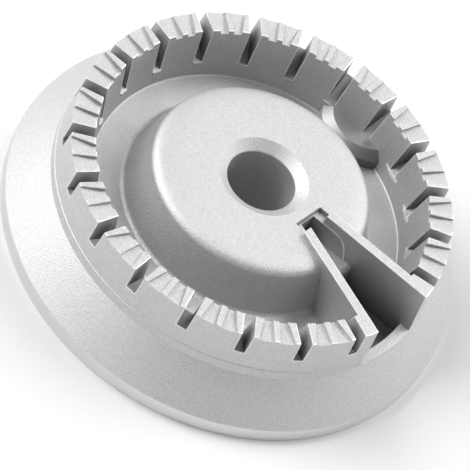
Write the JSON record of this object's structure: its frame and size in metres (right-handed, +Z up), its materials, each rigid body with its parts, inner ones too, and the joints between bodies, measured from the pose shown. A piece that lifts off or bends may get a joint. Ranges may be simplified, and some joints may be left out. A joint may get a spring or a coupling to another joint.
{
  "type": "gas burner head",
  "caption": "Round die-cast burner head: sloping flange, toothed flame crown, central dome with a bore, and a walled igniter notch.",
  "frame": {"origin": "centre of the rim's bottom face, on the axis of the central bore", "axes": "+Z up along the burner's axis, +X along the igniter notch, +Y towards the half-round boss"},
  "size_m": [0.1, 0.1, 0.0236],
  "materials": {
    "cast_aluminium": "satin, shot-blasted die casting"
  },
  "bodies": {
    "root": {"burner_head": "cast_aluminium"}
  },
  "joints": []
}
